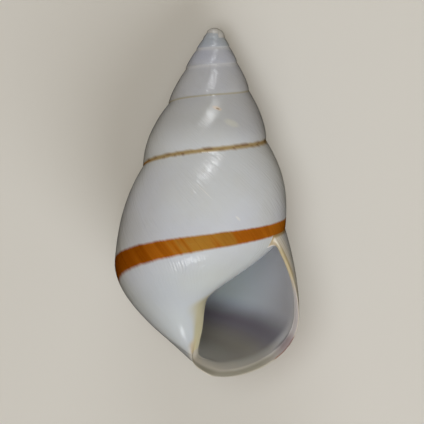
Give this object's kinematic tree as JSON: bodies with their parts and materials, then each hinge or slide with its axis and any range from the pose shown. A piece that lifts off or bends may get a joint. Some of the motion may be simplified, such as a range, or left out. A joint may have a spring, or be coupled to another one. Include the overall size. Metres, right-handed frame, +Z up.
{
  "type": "banded spiral snail shell",
  "caption": "High-spired, right-handed snail shell, glossy white with a brown spiral band, lying on its back with its open mouth up.",
  "frame": {"origin": "under the middle of the shell's box, on the surface that it lies on", "axes": "+Y towards the tip of the spire, along the longest side; +Z up, out of the mouth; +X to the outer lip's side"},
  "size_m": [0.0258, 0.0466, 0.0232],
  "materials": {
    "shell": "glossy porcelain-like shell, fine growth lines, one brown spiral band with ragged edges, greyish tip"
  },
  "bodies": {
    "root": {"shell": "shell"}
  },
  "joints": []
}
